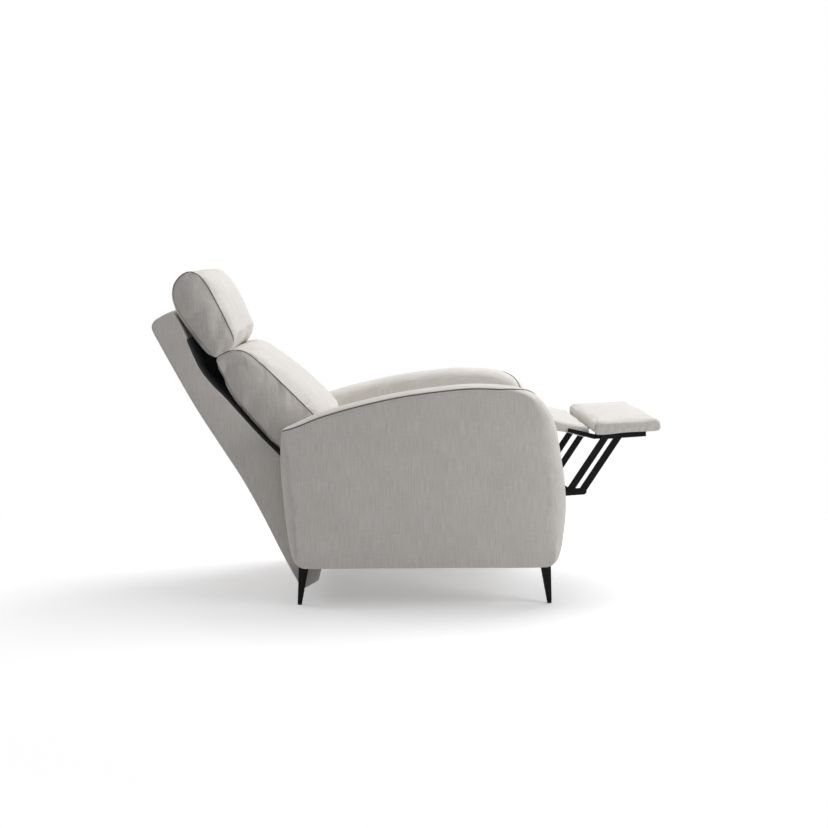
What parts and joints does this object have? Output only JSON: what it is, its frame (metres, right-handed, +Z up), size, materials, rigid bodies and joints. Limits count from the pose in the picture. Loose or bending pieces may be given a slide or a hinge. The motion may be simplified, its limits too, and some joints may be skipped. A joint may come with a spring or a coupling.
{
  "type": "reclining armchair",
  "caption": "Upholstered push-back recliner with padded arms, a reclining back, a tilting head cushion and a fold-out footrest on a flat-bar linkage.",
  "frame": {"origin": "on the floor, in the middle of the reclined chair's length and width", "axes": "+X forward, the way the sitter faces; +Y to the sitter's left; +Z up"},
  "size_m": [1.477, 0.712, 0.9742],
  "materials": {
    "upholstery": "matte",
    "plywood": "matte",
    "webbing": "matte",
    "glide": "matte",
    "zinc": "satin",
    "black_steel": "satin"
  },
  "bodies": {
    "base": {"arm_bolts": "zinc", "arm_cover_left": "upholstery", "arm_cover_right": "upholstery", "arm_frame_left": "plywood", "arm_frame_right": "plywood", "base_pivot_studs": "zinc", "front_cross_rail": "black_steel", "front_leg_left": "black_steel", "front_leg_right": "black_steel", "leg_glides": "glide", "leg_plates": "black_steel", "leg_screws": "zinc", "rear_cross_rail": "black_steel", "rear_leg_left": "black_steel", "rear_leg_right": "black_steel", "seat_cushion": "upholstery", "seat_front_rail": "plywood", "seat_rear_rail": "plywood", "seat_side_rail_left": "plywood", "seat_side_rail_right": "plywood", "seat_webbing": "webbing", "side_plate_left": "black_steel", "side_plate_right": "black_steel"},
    "back": {"back_bottom_rail": "plywood", "back_bracket_left": "black_steel", "back_bracket_right": "black_steel", "back_cushion": "upholstery", "back_head_rail": "plywood", "back_shell": "upholstery", "back_stile_left": "plywood", "back_stile_right": "plywood", "back_top_rail": "plywood", "back_webbing": "webbing", "head_hinge_lower_left": "black_steel", "head_hinge_lower_right": "black_steel", "head_hinge_pins": "zinc"},
    "headrest": {"head_board": "plywood", "head_cushion": "upholstery", "head_hinge_upper_left": "black_steel", "head_hinge_upper_right": "black_steel"},
    "lower_links": {"lower_link_left": "black_steel", "lower_link_right": "black_steel", "lower_link_studs": "zinc"},
    "rear_lift_links": {"rear_lift_link_left": "black_steel", "rear_lift_link_right": "black_steel", "rear_lift_link_studs": "zinc"},
    "front_lift_links": {"front_lift_link_left": "black_steel", "front_lift_link_right": "black_steel"},
    "footrest": {"footrest_board": "plywood", "footrest_bracket_left": "black_steel", "footrest_bracket_right": "black_steel", "footrest_bracket_studs": "zinc", "footrest_pad": "upholstery"},
    "middle_rest": {"middle_bracket_left": "black_steel", "middle_bracket_right": "black_steel", "middle_pad": "upholstery"},
    "guide_links": {"guide_link_left": "black_steel", "guide_link_right": "black_steel", "torque_tube": "black_steel"}
  },
  "joints": [
    {"name": "back_recline", "type": "hinge", "parent": "base", "child": "back", "pos_m": [-0.22504, 0, 0.275], "axis": [0, 1, 0], "range_deg": [0, 20]},
    {"name": "headrest_tilt", "type": "hinge", "parent": "back", "child": "headrest", "pos_m": [-0.52935, 0, 0.73732], "axis": [0, 1, 0], "range_deg": [0, 30]},
    {"name": "footrest_fold", "type": "hinge", "parent": "base", "child": "lower_links", "pos_m": [0.30776, 0, 0.313], "axis": [0, 1, 0], "range_deg": [0, 92]},
    {"name": "rear_lift_turn", "type": "hinge", "parent": "lower_links", "child": "rear_lift_links", "pos_m": [0.4724, 0, 0.32393], "axis": [0, 1, 0], "range_deg": [-112.2, 0]},
    {"name": "front_lift_turn", "type": "hinge", "parent": "lower_links", "child": "front_lift_links", "pos_m": [0.51431, 0, 0.32672], "axis": [0, 1, 0], "range_deg": [-112.2, 0]},
    {"name": "footrest_turn", "type": "hinge", "parent": "rear_lift_links", "child": "footrest", "pos_m": [0.57915, 0, 0.48831], "axis": [0, 1, 0], "range_deg": [0, 112.2]},
    {"name": "middle_rest_turn", "type": "hinge", "parent": "rear_lift_links", "child": "middle_rest", "pos_m": [0.57915, 0, 0.48831], "axis": [0, 1, 0], "range_deg": [-71.4, 0]},
    {"name": "guide_turn", "type": "hinge", "parent": "base", "child": "guide_links", "pos_m": [0.27006, 0, 0.3332], "axis": [0, 1, 0], "range_deg": [0, 88.77]}
  ],
  "couplings": [
    {"joint": "rear_lift_turn", "follows": "footrest_fold", "ratio": -1.1957},
    {"joint": "front_lift_turn", "follows": "footrest_fold", "ratio": -1.1957},
    {"joint": "footrest_turn", "follows": "footrest_fold", "ratio": 1.1957},
    {"joint": "middle_rest_turn", "follows": "footrest_fold", "ratio": -0.76087},
    {"joint": "guide_turn", "follows": "footrest_fold", "ratio": 0.946}
  ]
}
